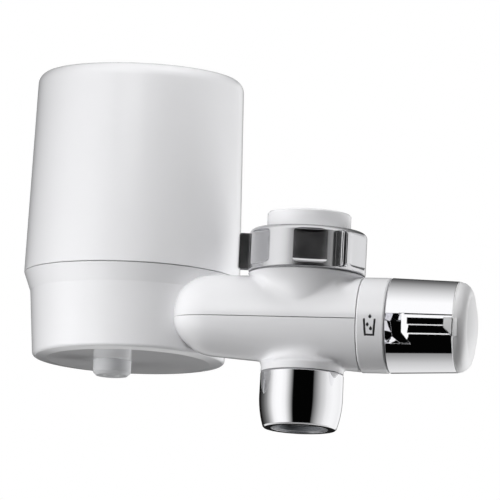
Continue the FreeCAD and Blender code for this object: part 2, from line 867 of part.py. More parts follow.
def knob_cap():
    """Domed end cap that plugs into the knob's screw well, with a tongue over the grip's end."""
    left = knob_end_x + seam_gap / 2
    corner_x = cap_end_x - cap_crown - cap_corner_r
    corner_r = knob_end_r - seam_gap / 2 - cap_corner_r
    mid_r, mid_x, _, _ = crown(corner_r, corner_x + cap_corner_r, cap_crown)
    plug_r = screw_well_r - 2 * seal_gap
    plug_in = plug_r - cap_plug_wall
    shoulder = arc(corner_x, corner_r, cap_corner_r, 90, 0)
    dome = turned_x([
        (left + cap_wall, 0), (left + cap_wall, plug_in), (left - cap_plug_length, plug_in),
        (left - cap_plug_length, plug_r), (left, plug_r), (left, knob_end_r - seam_gap),
        (left + seam_gap / 2, knob_end_r - seam_gap / 2), *shoulder, (mid_x, mid_r, cap_end_x, 0)])
    return dome.fuse(cap_tongue())


def knob_screw():
    """Screw that pulls the knob onto the spindle."""
    head_left = knob_end_x - screw_well_depth
    head_right = head_left + knob_screw_head_height
    left = spindle_end_x - knob_screw_length + knob_screw_end_room
    screw = lying(knob_screw_r, left, head_left)
    screw = screw.fuse(lying(knob_screw_head_r, head_left, head_right))
    return screw.cut(lying(knob_screw_socket_r, head_right - knob_screw_socket_depth, head_right))


def link_tube():
    """Short tube that carries water from the valve to the base, with a groove near each end."""
    body = lying(link_r, link_left_x, link_right_x)
    cuts = [lying(link_bore_r, link_left_x, link_right_x)]
    for place in link_seal_places:
        half = link_seal_wire_r + seal_gap
        groove = lying(link_r + 1, place - half, place + half)
        cuts.append(groove.cut(lying(link_r - 2 * link_seal_wire_r, place - half, place + half)))
    return body.cut(cuts)


def link_seals():
    """The two O-rings of the link tube, as one group."""
    bore = link_r + running_gap
    rings = [seal(link_seal_wire_r, bore, V(place, 0, valve_z), axis_x) for place in link_seal_places]
    return Part.makeCompound(rings)


def body_screws():
    """The two screws through the valve's flange, as one group."""
    screws = []
    for sign in (-1, 1):
        y = sign * body_screw_y
        shank = lying(body_screw_r, flange_x - body_screw_length, flange_x, y)
        head = lying(body_screw_head_r, flange_x, flange_x + body_screw_head_height, y)
        screws.append(shank.fuse(head))
    return Part.makeCompound(screws)


def base_arm():
    """The arm that holds the link tube's end, with a flange for the two screws."""
    bar = lying(link_barrel_r, filter_x + base_foot_r / 2, base_arm_end_x)
    return bar.fuse(rounded_plate(base_arm_end_x - base_arm_flange, base_arm_flange))


def filter_base():
    """Base bowl: its spigot carries the cup, its socket the cartridge and its arm the valve."""
    cone_low = base_top_z - base_cone_height
    bend = base_foot_round
    low = base_foot_z - base_underside_rise
    spigot_top = base_top_z + base_spigot_height
    spigot_in = base_spigot_r - base_spigot_wall
    floor_z = base_foot_z + base_floor
    outer = turned_z([
        (0, low), (base_foot_r - base_underside_flat, low),
        *arc(base_foot_r - bend, base_foot_z + bend, bend, -90, 0), (base_neck_r, cone_low),
        (base_rim_r, base_top_z), (base_spigot_r, base_top_z),
        (base_spigot_r, spigot_top), (0, spigot_top)], filter_x, filter_y)
    hollow = turned_z([
        (0, floor_z), (base_foot_r - base_wall, floor_z), (base_neck_r - base_wall, cone_low - base_wall),
        (spigot_in, base_top_z - base_wall), (spigot_in, spigot_top), (0, spigot_top)], filter_x, filter_y)
    socket_top = floor_z + socket_height
    post = upright(socket_r + socket_wall, base_foot_z, socket_top, filter_x, filter_y)
    socket = upright(socket_r, floor_z, socket_top, filter_x, filter_y)
    nozzle_hole = upright(
        nozzle_spigot_r + seal_gap, low - 1, floor_z, filter_x + nozzle_offset, filter_y)
    link_socket = lying(link_r + running_gap, filter_x + base_foot_r / 2, base_arm_end_x)
    seal_z = spigot_top - cup_seal_depth
    half = cup_seal_wire_r + seal_gap
    groove_in = base_spigot_r - 2 * cup_seal_wire_r
    groove = tube(base_spigot_r + 1, groove_in, seal_z - half, seal_z + half, filter_x, filter_y)
    hole_left = flange_x - body_screw_length - seal_gap
    pilot_r = body_screw_r + seal_gap
    pilots = [lying(pilot_r, hole_left, base_arm_end_x, sign * body_screw_y) for sign in (-1, 1)]
    base = outer.fuse(base_arm()).cut(hollow).fuse(post)
    return base.cut([socket, nozzle_hole, link_socket, groove] + pilots)


def filter_cup():
    """White cup: slightly tapered side, round shoulder and a low crown."""
    bend = cup_corner_r
    shoulder_r = cup_shoulder_r - bend
    side_top = cup_shoulder_z
    edge = cup_rim_edge
    inner_r = base_spigot_r + seal_gap + running_gap
    step_z = base_top_z + base_spigot_height + cup_step_margin
    inner_bend = bend - cup_wall
    inner_rim_r = cup_rim_r - cup_wall
    top_z = side_top + bend
    inner_z = side_top + inner_bend
    return turned_z([
        (inner_r, cup_rim_z), (cup_rim_r - edge, cup_rim_z), (cup_rim_r, cup_rim_z + edge),
        *arc(shoulder_r, side_top, bend, 0, 90), crown(shoulder_r, top_z, cup_crown),
        (0, inner_z + cup_crown), (*crown(shoulder_r, inner_z, cup_crown)[:2], shoulder_r, inner_z),
        *arc(shoulder_r, side_top, inner_bend, 90, 0)[1:], (inner_rim_r, step_z), (inner_r, step_z)],
        filter_x, filter_y)


def cup_seal():
    """The cup's large O-ring in the spigot's groove."""
    seal_z = base_top_z + base_spigot_height - cup_seal_depth
    bore = base_spigot_r + seal_gap + running_gap
    return seal(cup_seal_wire_r, bore, V(filter_x, filter_y, seal_z), axis_z)


def outlet_nozzle():
    """Round outlet under the base, pushed into the floor beside the filter's axis."""
    top = base_foot_z - base_underside_rise
    low = top - nozzle_length
    spigot_top = base_foot_z + base_floor
    edge = nozzle_edge
    return turned_z([
        (nozzle_bore_r, spigot_top), (nozzle_spigot_r, spigot_top), (nozzle_spigot_r, top), (nozzle_r, top),
        (nozzle_r, low + edge), (nozzle_r - edge, low), (nozzle_mouth_r, low),
        (nozzle_bore_r, low + nozzle_mouth_depth)], filter_x + nozzle_offset, filter_y)


def cartridge_cap_outline(outside_z, up):
    """The outline of a cap's dish: up is +1 where the dish opens upwards, and -1 downwards."""
    rim_in = cartridge_cap_r - cartridge_cap_wall
    inside_z = outside_z + up * cartridge_cap_floor
    rim_z = inside_z + up * cartridge_cap_rim
    return [
        (0, outside_z), (cartridge_cap_r, outside_z), (cartridge_cap_r, rim_z), (rim_in, rim_z),
        (rim_in, inside_z), (0, inside_z)]


def cartridge_bottom_cap():
    """Dish under the carbon block, with a spigot for the base's socket."""
    dish = turned_z(cartridge_cap_outline(cartridge_bottom_z, 1), filter_x, filter_y)
    low = cartridge_bottom_z - cartridge_spigot_length
    spigot_r = socket_r - running_gap
    spigot = upright(spigot_r, low, cartridge_bottom_z, filter_x, filter_y)
    top = cartridge_bottom_z + cartridge_cap_floor
    bore = upright(cartridge_bore_r, low, top, filter_x, filter_y)
    seal_z = cartridge_bottom_z - cartridge_seal_drop
    half = cartridge_seal_wire_r + seal_gap
    groove_in = spigot_r - 2 * cartridge_seal_wire_r - seal_gap
    groove = tube(spigot_r + 1, groove_in, seal_z - half, seal_z + half, filter_x, filter_y)
    return dish.fuse(spigot).cut([bore, groove])


def cartridge_seal():
    """O-ring on the cartridge's spigot."""
    seal_z = cartridge_bottom_z - cartridge_seal_drop
    return seal(cartridge_seal_wire_r, socket_r, V(filter_x, filter_y, seal_z), axis_z)


def carbon_block():
    """Pressed carbon tube that the water passes through from the outside in."""
    low = cartridge_bottom_z + cartridge_cap_floor
    return tube(block_r, block_bore_r, low, low + block_height, filter_x, filter_y)


def prefilter_sleeve():
    """Thin fleece sleeve round the carbon block, between the two dishes."""
    low = cartridge_bottom_z + cartridge_cap_floor + cartridge_cap_rim + loose_gap
    high = low + block_height - 2 * cartridge_cap_rim - 2 * loose_gap
    inner = block_r + seal_gap
    return tube(inner + sleeve_thickness, inner, low, high, filter_x, filter_y)


def cartridge_top_cap():
    """Dish over the carbon block, closed, with a fin to pull the cartridge out by."""
    top = cartridge_bottom_z + 2 * cartridge_cap_floor + block_height
    dish = turned_z(cartridge_cap_outline(top, -1), filter_x, filter_y)
    half = cartridge_handle_length / 2
    bend = cartridge_handle_round
    high = top + cartridge_handle_height
    left = filter_x - half
    right = filter_x + half
    fin = face_of(
        [(left, top - 1), (right, top - 1), *arc(right - bend, high - bend, bend, 0, 90),
         *arc(left + bend, high - bend, bend, 90, 180)],
        lambda px, pz: V(px, filter_y - cartridge_handle_width / 2, pz))
    return dish.fuse(fin.extrude(V(0, cartridge_handle_width, 0)))


def aerator_housing():
    """Chrome sleeve that screws on the spout and holds the jet insert."""
    low = aerator_foot_z
    top = aerator_top_z
    edge = aerator_edge
    waist_z = top - aerator_waist_drop
    bow = (aerator_foot_r + aerator_bow, (waist_z + low) / 2)
    lip_z = low + aerator_lip_thickness
    return turned_z([
        (aerator_bore_r, top), (aerator_top_r - edge, top), (aerator_top_r, top - edge),
        (aerator_waist_r, waist_z), (*bow, aerator_foot_r, low + edge), (aerator_foot_r - edge, low),
        (aerator_lip_r, low), (aerator_lip_r, lip_z), (aerator_bore_r, lip_z)])


def aerator_washer():
    """Rubber washer between the spout's end and the jet insert."""
    return tube(insert_r, aerator_washer_hole_r, spout_end_z - aerator_washer_thickness, spout_end_z)


def aerator_insert():
    """Plastic jet former: a plate with fine holes over a round chamber."""
    top = spout_end_z - aerator_washer_thickness
    lip_z = aerator_foot_z + aerator_lip_thickness
    nose_z = aerator_foot_z + insert_nose_margin
    ledge_z = nose_z + screen_margin - screen_thickness
    plate_z = top - insert_plate
    step_z = lip_z + running_gap
    nose_r = aerator_lip_r - running_gap
    chamber_r = screen_r + seal_gap
    body = turned_z([
        (0, top), (insert_r, top), (insert_r, step_z), (nose_r, step_z), (nose_r, nose_z),
        (insert_exit_r, nose_z), (insert_exit_r, ledge_z), (chamber_r, ledge_z), (chamber_r, plate_z),
        (0, plate_z)])
    return body.cut(hole_grid(insert_hole_r, insert_hole_rings, insert_ring_pitch, plate_z, top))


def aerator_screen():
    """Fine steel screen at the mouth of the jet insert."""
    high = aerator_foot_z + insert_nose_margin + screen_margin
    low = high - screen_thickness
    disc = upright(screen_r, low, high)
    return disc.cut(hole_grid(screen_hole_r, screen_hole_rings, screen_ring_pitch, low, high))


pieces = {
    "tap_adapter": tap_adapter,
    "tap_washer": tap_washer,
    "coupling_washer": coupling_washer,
    "inlet_strainer": inlet_strainer,
    "coupling_nut": coupling_nut,
    "nut_retainer": nut_retainer,
    "valve_body": valve_body,
    "body_cover_top": body_cover_top,
    "body_cover_bottom": body_cover_bottom,
    "indicator_ring": indicator_ring,
    "selector_spindle": selector_spindle,
    "spindle_seals": spindle_seals,
    "spindle_gland": spindle_gland,
    "selector_knob": selector_knob,
    "knob_screw": knob_screw,
    "knob_cap": knob_cap,
    "link_tube": link_tube,
    "link_seals": link_seals,
    "body_screws": body_screws,
    "filter_base": filter_base,
    "outlet_nozzle": outlet_nozzle,
    "filter_cup": filter_cup,
    "cup_seal": cup_seal,
    "cartridge_bottom_cap": cartridge_bottom_cap,
    "cartridge_seal": cartridge_seal,
    "carbon_block": carbon_block,
    "prefilter_sleeve": prefilter_sleeve,
    "cartridge_top_cap": cartridge_top_cap,
    "aerator_housing": aerator_housing,
    "aerator_washer": aerator_washer,
    "aerator_insert": aerator_insert,
    "aerator_screen": aerator_screen,
}

for name, make in pieces.items():
    shape = make()
    shape.exportStep(f"parts/{name}.step")
    state = "valid" if shape.isValid() else "not valid"
    print(name, len(shape.Solids), "solids", round(shape.Volume, 1), "mm3", state)
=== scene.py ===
"""Looks of a tap-mounted water filter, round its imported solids.

The origin is the mouth of the tap adapter, with +Z up, +X towards the selector knob and -Y the
front. Sizes of the filter are in millimetres, and those of the studio round it in metres.
"""
import math

import bpy
import numpy as np
from mathutils import Matrix, Vector


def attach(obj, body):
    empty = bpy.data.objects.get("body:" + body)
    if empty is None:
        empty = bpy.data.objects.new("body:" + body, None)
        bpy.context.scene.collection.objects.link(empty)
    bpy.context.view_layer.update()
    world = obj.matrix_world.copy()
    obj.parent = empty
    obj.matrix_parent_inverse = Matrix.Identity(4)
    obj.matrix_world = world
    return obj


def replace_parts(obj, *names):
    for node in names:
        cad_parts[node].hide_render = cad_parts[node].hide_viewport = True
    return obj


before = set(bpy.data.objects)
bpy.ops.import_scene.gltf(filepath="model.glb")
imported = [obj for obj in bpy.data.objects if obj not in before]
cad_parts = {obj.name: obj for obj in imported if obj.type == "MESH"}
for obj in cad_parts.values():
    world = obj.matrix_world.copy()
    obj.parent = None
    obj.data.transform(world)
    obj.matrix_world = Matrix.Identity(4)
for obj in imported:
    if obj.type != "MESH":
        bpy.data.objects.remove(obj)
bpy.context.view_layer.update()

# Camera
# A long lens stands a little to the right and looks up at the filter, which hangs slightly
# turned in the picture. It aims at a point between the cup and the valve.
MM = 0.001
camera_azimuth = math.radians(9.77)
camera_elevation = math.radians(-8.64)
camera_roll = math.radians(2.75)
camera_target = Vector((-23.5, 0, -15.0)) * MM
camera_distance = 9.0
camera_lens = 1620
camera_sensor = 36
camera_reach = 50

away = Vector((
    math.sin(camera_azimuth) * math.cos(camera_elevation),
    -math.cos(camera_azimuth) * math.cos(camera_elevation),
    math.sin(camera_elevation)))
right = Vector((0, 0, 1)).cross(away).normalized()
upward = away.cross(right)
tilted_right = right * math.cos(camera_roll) + upward * math.sin(camera_roll)
tilted_up = away.cross(tilted_right)
camera_data = bpy.data.cameras.new("studio_camera")
camera_data.lens = camera_lens
camera_data.sensor_width = camera_sensor
camera_data.clip_end = camera_reach
camera = bpy.data.objects.new("studio_camera", camera_data)
bpy.context.scene.collection.objects.link(camera)
turn = Matrix((tilted_right, tilted_up, away)).transposed()
camera.matrix_world = Matrix.Translation(camera_target + away * camera_distance) @ turn.to_4x4()
bpy.context.scene.camera = camera


# Studio
# Bright soft boxes stand left, right and overhead round a dark front, as chrome is lit for a
# picture: the dark front gives the black bands, and the boxes give the white ones.
def linear(code):
    """One sRGB hex value as the linear red, green, blue and alpha that a socket takes."""
    parts = [int(code[i:i + 2], 16) / 255 for i in (1, 3, 5)]
    return [c / 12.92 if c <= 0.04045 else ((c + 0.055) / 1.055) ** 2.4 for c in parts] + [1.0]


def add(tree, kind, values=None, links=None, stops=()):
    """One node with its settings, its sockets' values and sources, and its grey scale's stops."""
    new = tree.nodes.new("ShaderNode" + kind)
    for key, value in (values or {}).items():
        if isinstance(key, str) and hasattr(new, key):
            setattr(new, key, value)
        else:
            new.inputs[key].default_value = value
    for key, source in (links or {}).items():
        tree.links.new(new.inputs[key], source)
    for index, (place, bright) in enumerate(stops):
        elements = new.color_ramp.elements
        element = elements[index] if index < 2 else elements.new(place)
        element.position = place
        element.color = (bright, bright, bright, 1)
    return new


def turn_place(degrees):
    """The place of a full turn's angle on a grey scale, which runs from -180 to 180 degrees."""
    return (degrees + 180) / 360


def height_place(degrees):
    """The place of a height above the horizon on a grey scale: half of one plus its sine."""
    return (math.sin(math.radians(degrees)) + 1) / 2


# Each stop is an angle in degrees, and how bright the studio is there. The first row goes round
# by the compass, from the front by the right. The second goes round the valve's axis, from the
# front over the top. The edges say at which heights the second takes over from the first.
level_boxes = (
    (-180, 0.05), (-172, 0.01), (-139, 0.01), (-130, 0.05), (-116, 0.11), (-100, 0.27),
    (-86, 0.58), (-75, 0.90), (-62, 1.0), (-48, 1.0), (-36, 0.90), (-27, 0.62), (-18, 0.24),
    (-13, 0.001), (42, 0.001), (44, 0.10), (49, 0.20), (58, 0.38), (67, 0.55), (77, 0.67),
    (87, 0.83), (98, 0.90), (110, 0.95), (125, 0.93), (142, 0.88), (156, 0.92), (166, 0.90),
    (174, 0.4), (180, 0.05))
round_boxes = (
    (-180, 0.77), (-151, 0.77), (-127, 0.68), (-110, 0.59), (-96, 0.44), (-83, 0.31),
    (-78.5, 0.28), (-77.5, 0.001), (17, 0.001), (21, 1.0), (53, 1.0), (64, 0.9), (77, 0.75),
    (92, 0.58), (108, 0.39), (131, 0.17), (158, 0.04), (172, 0.01), (176, 0.77), (180, 0.77))
edges = (
    ("MIX", ((17, 0.0), (21, 1.0))),
    ("LIGHTEN", ((-17, 1.0), (-12, 0.0))),
    ("MIX", ((-42, 1.0), (-35, 0.0))))
mirrored_strength = 1.1
ambient_strength = 0.03
paper_strength = 1.0

world = bpy.data.worlds.new("studio")
bpy.context.scene.world = world
world.use_nodes = True
tree = world.node_tree
tree.nodes.clear()
direction = add(tree, "TexCoord").outputs["Generated"]
apart = add(tree, "SeparateXYZ", links={0: direction})
front_way = add(tree, "Math", {"operation": "MULTIPLY", 1: -1.0}, {0: apart.outputs["Y"]})
compass = add(tree, "Math", {"operation": "ARCTAN2"}, {0: apart.outputs["X"], 1: front_way.outputs[0]})
around = add(tree, "Math", {"operation": "ARCTAN2"}, {0: apart.outputs["Z"], 1: front_way.outputs[0]})
boxes = []
for angle, bright_at in ((compass, level_boxes), (around, round_boxes)):
    place = add(tree, "MapRange", {"From Min": -math.pi, "From Max": math.pi}, {"Value": angle.outputs[0]})
    boxes.append(add(tree, "ValToRGB", links={"Fac": place.outputs[0]},
                     stops=[(turn_place(turned), bright) for turned, bright in bright_at]))
height = add(tree, "MapRange", {"From Min": -1.0, "From Max": 1.0}, {"Value": apart.outputs["Z"]})
sky = boxes[0].outputs[0]
for way, edge in edges:
    share = add(tree, "ValToRGB", links={"Fac": height.outputs[0]},
                stops=[(height_place(raised), part) for raised, part in edge])
    sky = add(tree, "Mix", {"data_type": "RGBA", "blend_type": way},
              {0: share.outputs[0], 6: sky, 7: boxes[1].outputs[0]}).outputs[2]
ray = add(tree, "LightPath")
mirrored = add(tree, "Background", {"Strength": mirrored_strength}, {"Color": sky})
ambient = add(tree, "Background", {"Color": (1, 1, 1, 1), "Strength": ambient_strength})
paper = add(tree, "Background", {"Color": (1, 1, 1, 1), "Strength": paper_strength})
mixed = add(tree, "MixShader", links={
    0: ray.outputs["Is Diffuse Ray"], 1: mirrored.outputs[0], 2: ambient.outputs[0]})
mixed = add(tree, "MixShader", links={
    0: ray.outputs["Is Camera Ray"], 1: mixed.outputs[0], 2: paper.outputs[0]})
add(tree, "OutputWorld", links={0: mixed.outputs[0]})
bpy.context.scene.view_settings.view_transform = "Standard"

# Each soft box has its azimuth and elevation in degrees, its distance and size in metres, and its
# power in watts. They light the white mouldings, and the chrome doesn't mirror them.
soft_boxes = (
    ("left_box", -70, -8, 1.6, 0.9, 11.5),
    ("near_box", -5, 27, 0.4, 0.16, 0.72),
    ("top_box", 60, 72, 0.4, 0.2, 0.80),
    ("low_left_box", -46, -33, 0.25, 0.12, 0.15),
    ("low_right_box", 128, -20, 0.4, 0.2, 1.3))
for name, azimuth, elevation, distance, size, power in soft_boxes:
    box_light = bpy.data.lights.new(name, "AREA")
    box_light.shape = "SQUARE"
    box_light.size = size
    box_light.energy = power
    box = bpy.data.objects.new(name, box_light)
    bpy.context.scene.collection.objects.link(box)
    turned, raised = math.radians(azimuth), math.radians(elevation)
    place = Vector((
        math.sin(turned) * math.cos(raised), -math.cos(turned) * math.cos(raised), math.sin(raised)))
    box.location = camera_target + place * distance
    box.rotation_euler = place.to_track_quat("Z", "Y").to_euler()
    box.visible_glossy = False
    box.visible_camera = False

# Filter cup
# The cup is moulded in one piece of white ABS, polished outside by its mould. Its side draws in
# a little upwards, and it screws onto the base's spigot.
drift_mm = 18.0
drift_share = 0.015
gloss_share = 0.15
skin_strength = 0.4
edge_samples = 4


def plastic(name, colour, roughness, wave_mm, wave_high_mm, ior=1.54, round_mm=0.25):
    """A moulded plastic: even colour with a faint drift, a shallow wave in its skin, soft edges."""
    made = bpy.data.materials.new(name)
    made.use_nodes = True
    tree = made.node_tree
    shader = tree.nodes["Principled BSDF"]
    shader.inputs["IOR"].default_value = ior
    place = add(tree, "TexCoord").outputs["Object"]
    drift = add(tree, "TexNoise", {"Scale": 1 / (drift_mm * MM), "Detail": 2.0}, {"Vector": place})
    tone = add(tree, "MapRange", {"To Min": 1 - drift_share, "To Max": 1 + drift_share},
               {"Value": drift.outputs["Fac"]})
    tinted = add(tree, "Mix", {"data_type": "RGBA", "blend_type": "MULTIPLY", 0: 1.0, 6: linear(colour)},
                 {7: tone.outputs[0]})
    tree.links.new(shader.inputs["Base Color"], tinted.outputs[2])
    skin = add(tree, "TexNoise", {"Scale": 1 / (wave_mm * MM), "Detail": 3.0}, {"Vector": place})
    dullest, glossiest = roughness * (1 + gloss_share), roughness * (1 - gloss_share)
    gloss = add(tree, "MapRange", {"To Min": glossiest, "To Max": dullest}, {"Value": skin.outputs["Fac"]})
    tree.links.new(shader.inputs["Roughness"], gloss.outputs[0])
    edge = add(tree, "Bevel", {"samples": edge_samples, "Radius": round_mm * MM})
    bump = add(tree, "Bump", {"Strength": skin_strength, "Distance": wave_high_mm * MM},
               {"Height": skin.outputs["Fac"], "Normal": edge.outputs[0]})
    tree.links.new(shader.inputs["Normal"], bump.outputs[0])
    return made


def wear(made, *names):
    """Gives the named nodes of the frame a material."""
    for name in names:
        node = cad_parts[name]
        node.data.materials.clear()
        node.data.materials.append(made)


# Moulded white ABS gives a clean, very slightly cool white, with a clear shine a little softer
# than glass.
white_abs = plastic("moulded_white_abs", "#F1F1F3", 0.16, 6.0, 0.004)
wear(white_abs, "filter_cup")

# Filter base
# The base is moulded in the same white ABS as the cup: a bowl with a spigot, a socket for the
# cartridge and an arm that two screws hold to the valve.
wear(white_abs, "filter_base")

# Outlet nozzle
# A small nozzle of greyish-white acetal is pressed into the base's floor, and filtered water
# leaves through it. The acetal looks milky and only half glossy beside the ABS.
grey_acetal = plastic("moulded_grey_white_acetal", "#DADBDD", 0.3, 2.0, 0.004, 1.48)
wear(grey_acetal, "outlet_nozzle")

# Cartridge and seals
# Inside the cup stands a pressed carbon block in a fleece sleeve, glued between two dished caps
# of blue polypropylene. Black nitrile rings and flat washers seal every joint.
# The polypropylene is a waxy blue, the carbon black and grainy, the fleece a soft matt white, and
# the rubber a dull black.
blue_pp = plastic("moulded_blue_polypropylene", "#2F5FA0", 0.4, 2.0, 0.004, 1.49)
carbon = plastic("pressed_carbon", "#1B1B1C", 0.85, 0.6, 0.15, 1.5)
fleece = plastic("white_fleece", "#E6E6E0", 0.95, 0.5, 0.2, 1.5)
rubber = plastic("moulded_nitrile_rubber", "#161616", 0.6, 1.0, 0.01, 1.52)
wear(blue_pp, "cartridge_bottom_cap", "cartridge_top_cap")
wear(carbon, "carbon_block")
wear(fleece, "prefilter_sleeve")
wear(rubber, "tap_washer", "coupling_washer", "spindle_seals", "link_seals", "cup_seal",
     "cartridge_seal", "aerator_washer")

# Tap adapter
# The bush that screws onto the tap's spout is white ABS, and only its smooth outer end shows
# above the nut.
wear(white_abs, "tap_adapter")

# Valve inside the covers
# The valve body, spindle, gland and link tube are moulded in natural acetal, which is milky and
# half glossy. Steel screws and an etched steel strainer complete it, both a plain bright grey.
polish_share = 0.3
polish_strength = 0.3


def metal(name, colour, roughness, wave_mm, wave_high_mm, round_mm=0.2):
    """A metal skin: its colour, a polish that drifts a little, a shallow wave, and soft edges."""
    made = bpy.data.materials.new(name)
    made.use_nodes = True
    tree = made.node_tree
    shader = tree.nodes["Principled BSDF"]
    shader.inputs["Metallic"].default_value = 1.0
    shader.inputs["Base Color"].default_value = linear(colour)
    place = add(tree, "TexCoord").outputs["Object"]
    skin = add(tree, "TexNoise", {"Scale": 1 / (wave_mm * MM), "Detail": 2.0}, {"Vector": place})
    dullest, glossiest = roughness * (1 + polish_share), roughness * (1 - polish_share)
    gloss = add(tree, "MapRange", {"To Min": glossiest, "To Max": dullest}, {"Value": skin.outputs["Fac"]})
    tree.links.new(shader.inputs["Roughness"], gloss.outputs[0])
    edge = add(tree, "Bevel", {"samples": edge_samples, "Radius": round_mm * MM})
    bump = add(tree, "Bump", {"Strength": polish_strength, "Distance": wave_high_mm * MM},
               {"Height": skin.outputs["Fac"], "Normal": edge.outputs[0]})
    tree.links.new(shader.inputs["Normal"], bump.outputs[0])
    return made


acetal = plastic("moulded_acetal", "#E6E6E2", 0.35, 2.0, 0.004, 1.48)
mesh_steel = metal("etched_stainless_steel", "#9A9B9C", 0.3, 0.5, 0.01)
screw_steel = metal("turned_stainless_steel", "#A5A6A8", 0.25, 0.6, 0.01)
wear(acetal, "nut_retainer", "valve_body", "selector_spindle", "spindle_gland", "link_tube")
wear(mesh_steel, "inlet_strainer", "aerator_screen")
wear(screw_steel, "knob_screw", "body_screws")

# Coupling nut
# The nut is moulded ABS with a chrome plate. It is barrel polished, so it mirrors a little more
# softly and more darkly than the knob does.
soft_chrome = metal("barrel_polished_chrome_plate", "#D6D6D8", 0.2, 7.0, 0.003)
wear(soft_chrome, "coupling_nut")

# Valve covers
# Two glossy white ABS shells clip together round the valve, and meet in a fine line at the height
# of its axis. The upper one flares softly to the nut, the lower one to a collar round the spout.
cover_left_x = -51.5
cover_right_x = 23.4
cover_end_length = 15.0
cover_end_r = 8.8
cover_r = 18.8
cover_wall = 2.2
valve_z = -44.4
seam_gap = 0.3
lower_left_depth = 13.9
lower_end_depth = 3.4
sharp_degrees = 70

# The base's axis, and the room that the base's wall needs round it, as heights and radii.
base_axis = (-74.7, 22.0)
base_room = ((-57.35, 38.7), (-31.15, 40.55), (-23.95, 43.25))

# Each neck's rim and outline are points of height and radius, and its blend is how far the
# corner between neck and hull is rounded. The ends of an outline are eased over a short length.
upper_rim = ((-25.1, 14.6), (-25.1, 23.4))
upper_neck = ((-25.1, 23.4), (-31.35, 18.95), (-37.6, 17.6))
upper_blend = 6
lower_rim = ((-64.5, 12.6), (-64.5, 16.6))
lower_neck = ((-61.1, 16.6), (-59.37, 13.95), (-55.9, 12.8))
lower_blend = 5
neck_ease = 0.5


def surface(name, grids, rows_meet=False, columns_meet=False):
    """One mesh from grids of points in millimetres: every four neighbours make a face, and the first
    and last rows or columns of a grid may meet."""
    points, faces, start = [], [], 0
    for grid in grids:
        rows, columns = grid.shape[:2]
        index = start + np.arange(rows * columns).reshape(rows, columns)
        start += rows * columns
        if rows_meet:
            index = np.vstack((index, index[:1]))
        if columns_meet:
            index = np.hstack((index, index[:, :1]))
        corners = (index[:-1, :-1], index[:-1, 1:], index[1:, 1:], index[1:, :-1])
        faces.append(np.stack(corners, axis=-1).reshape(-1, 4))
        points.append(grid.reshape(-1, 3) * MM)
    made = bpy.data.meshes.new(name)
    made.from_pydata(np.concatenate(points), [], np.concatenate(faces))
    made.shade_smooth()
    made.set_sharp_from_angle(angle=math.radians(sharp_degrees))
    piece = bpy.data.objects.new(name, made)
    bpy.context.scene.collection.objects.link(piece)
    return piece


def end_rise(x):
    """How far the covers have opened out at x: a quarter ellipse at the left end, then 1."""
    reach = np.clip((cover_left_x + cover_end_length - x) / cover_end_length, 0, 1)
    return np.sqrt(1 - reach ** 2)


def cover_width(x):
    """Half the covers' width at x: the end's half width, and the rest as the end opens out."""
    return cover_end_r + (cover_r - cover_end_r) * end_rise(x)


def lower_depth(x):
    """The lower cover's depth at x: it grows evenly to the right, and is drawn in at the left."""
    straight = cover_left_x + cover_end_length
    full = lower_left_depth + (cover_r - lower_left_depth) * (x - straight) / (cover_right_x - straight)
    return lower_end_depth + (full - lower_end_depth) * end_rise(x)


def halved(low, high, inside, steps=40):
    """Where a line of places leaves the inside, found by halving the stretch again and again."""
    for _ in range(steps):
        middle = (low + high) / 2
        keep = inside(middle)
        low, high = np.where(keep, middle, low), np.where(keep, high, middle)
    return low


